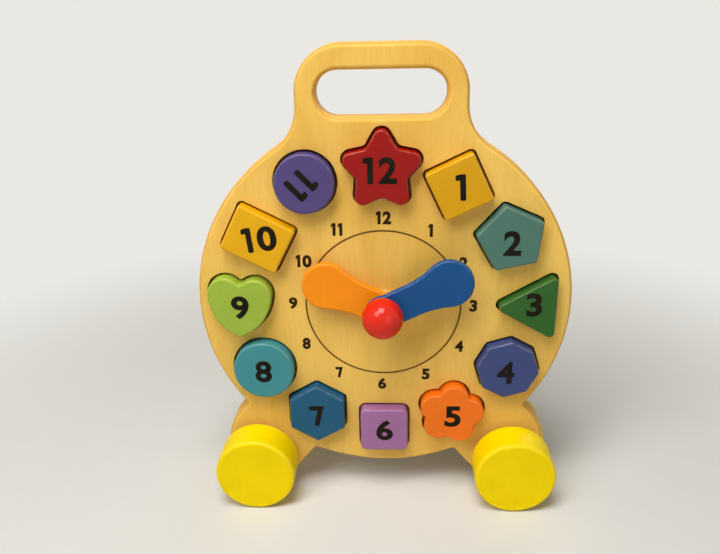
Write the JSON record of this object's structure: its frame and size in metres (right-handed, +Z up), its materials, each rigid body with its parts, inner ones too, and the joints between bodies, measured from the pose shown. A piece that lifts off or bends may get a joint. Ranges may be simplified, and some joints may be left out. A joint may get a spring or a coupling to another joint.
{
  "type": "teaching clock",
  "caption": "Wooden teaching clock on four wheels, with a carrying grip, turning hands under a ball knob and numbered shape blocks that lift out of windows around the dial.",
  "frame": {"origin": "on the floor, under the middle of the whole clock: midway between the wheel sides in X and between the ball knob's front and the rear wheels' faces in Y", "axes": "+Z up, -Y the way the dial faces, +X to the right of someone who looks at the dial"},
  "size_m": [0.2422, 0.078, 0.3051],
  "materials": {
    "natural_ply": "clear lacquer on birch plywood",
    "paint_12": "gloss paint on wood",
    "paint_01": "gloss paint on wood",
    "paint_02": "gloss paint on wood",
    "paint_03": "gloss paint on wood",
    "paint_04": "gloss paint on wood",
    "paint_05": "gloss paint on wood",
    "paint_06": "gloss paint on wood",
    "paint_07": "gloss paint on wood",
    "paint_08": "gloss paint on wood",
    "paint_09": "gloss paint on wood",
    "paint_10": "gloss paint on wood",
    "paint_11": "gloss paint on wood",
    "yellow_paint": "gloss paint on turned wood",
    "orange_paint": "gloss paint on plywood",
    "blue_paint": "gloss paint on plywood",
    "red_paint": "gloss paint on turned wood",
    "dowel_wood": "bare hardwood dowel",
    "steel": "zinc plated",
    "magnet": "nickel plated magnet"
  },
  "bodies": {
    "clock": {"front_board": "natural_ply", "back_board": "natural_ply", "keeper_discs": "steel", "spindle": "dowel_wood", "dial_spacer": "dowel_wood", "hand_washer": "dowel_wood", "ball_knob": "red_paint"},
    "hour_hand": {"hour_hand": "orange_paint"},
    "minute_hand": {"minute_hand": "blue_paint"},
    "wheels_left": {"axle_left": "dowel_wood", "wheel_front_left": "yellow_paint", "wheel_rear_left": "yellow_paint"},
    "wheels_right": {"axle_right": "dowel_wood", "wheel_front_right": "yellow_paint", "wheel_rear_right": "yellow_paint"},
    "shape_12": {"block_12_star": "paint_12", "magnet_12": "magnet"},
    "shape_01": {"block_01_square": "paint_01", "magnet_01": "magnet"},
    "shape_02": {"block_02_pentagon": "paint_02", "magnet_02": "magnet"},
    "shape_03": {"block_03_triangle": "paint_03", "magnet_03": "magnet"},
    "shape_04": {"block_04_octagon": "paint_04", "magnet_04": "magnet"},
    "shape_05": {"block_05_flower": "paint_05", "magnet_05": "magnet"},
    "shape_06": {"block_06_square": "paint_06", "magnet_06": "magnet"},
    "shape_07": {"block_07_hexagon": "paint_07", "magnet_07": "magnet"},
    "shape_08": {"block_08_circle": "paint_08", "magnet_08": "magnet"},
    "shape_09": {"block_09_heart": "paint_09", "magnet_09": "magnet"},
    "shape_10": {"block_10_rectangle": "paint_10", "magnet_10": "magnet"},
    "shape_11": {"block_11_circle": "paint_11", "magnet_11": "magnet"}
  },
  "joints": [
    {"name": "hour_hand_turn", "type": "hinge", "parent": "clock", "child": "hour_hand", "pos_m": [0, -0.0083, 0.14303], "axis": [0, 1, 0], "continuous": true},
    {"name": "minute_hand_turn", "type": "hinge", "parent": "clock", "child": "minute_hand", "pos_m": [0, -0.0154, 0.14303], "axis": [0, 1, 0], "continuous": true},
    {"name": "left_wheels_roll", "type": "hinge", "parent": "clock", "child": "wheels_left", "pos_m": [-0.08807, 0.004, 0.027], "axis": [0, 1, 0], "continuous": true},
    {"name": "right_wheels_roll", "type": "hinge", "parent": "clock", "child": "wheels_right", "pos_m": [0.08807, 0.004, 0.027], "axis": [0, 1, 0], "continuous": true},
    {"name": "shape_12_lift", "type": "slide", "parent": "clock", "child": "shape_12", "axis": [0, -1, 0], "range_m": [0, 0.03]},
    {"name": "shape_01_lift", "type": "slide", "parent": "clock", "child": "shape_01", "axis": [0, -1, 0], "range_m": [0, 0.03]},
    {"name": "shape_02_lift", "type": "slide", "parent": "clock", "child": "shape_02", "axis": [0, -1, 0], "range_m": [0, 0.03]},
    {"name": "shape_03_lift", "type": "slide", "parent": "clock", "child": "shape_03", "axis": [0, -1, 0], "range_m": [0, 0.03]},
    {"name": "shape_04_lift", "type": "slide", "parent": "clock", "child": "shape_04", "axis": [0, -1, 0], "range_m": [0, 0.03]},
    {"name": "shape_05_lift", "type": "slide", "parent": "clock", "child": "shape_05", "axis": [0, -1, 0], "range_m": [0, 0.03]},
    {"name": "shape_06_lift", "type": "slide", "parent": "clock", "child": "shape_06", "axis": [0, -1, 0], "range_m": [0, 0.03]},
    {"name": "shape_07_lift", "type": "slide", "parent": "clock", "child": "shape_07", "axis": [0, -1, 0], "range_m": [0, 0.03]},
    {"name": "shape_08_lift", "type": "slide", "parent": "clock", "child": "shape_08", "axis": [0, -1, 0], "range_m": [0, 0.03]},
    {"name": "shape_09_lift", "type": "slide", "parent": "clock", "child": "shape_09", "axis": [0, -1, 0], "range_m": [0, 0.03]},
    {"name": "shape_10_lift", "type": "slide", "parent": "clock", "child": "shape_10", "axis": [0, -1, 0], "range_m": [0, 0.03]},
    {"name": "shape_11_lift", "type": "slide", "parent": "clock", "child": "shape_11", "axis": [0, -1, 0], "range_m": [0, 0.03]}
  ]
}
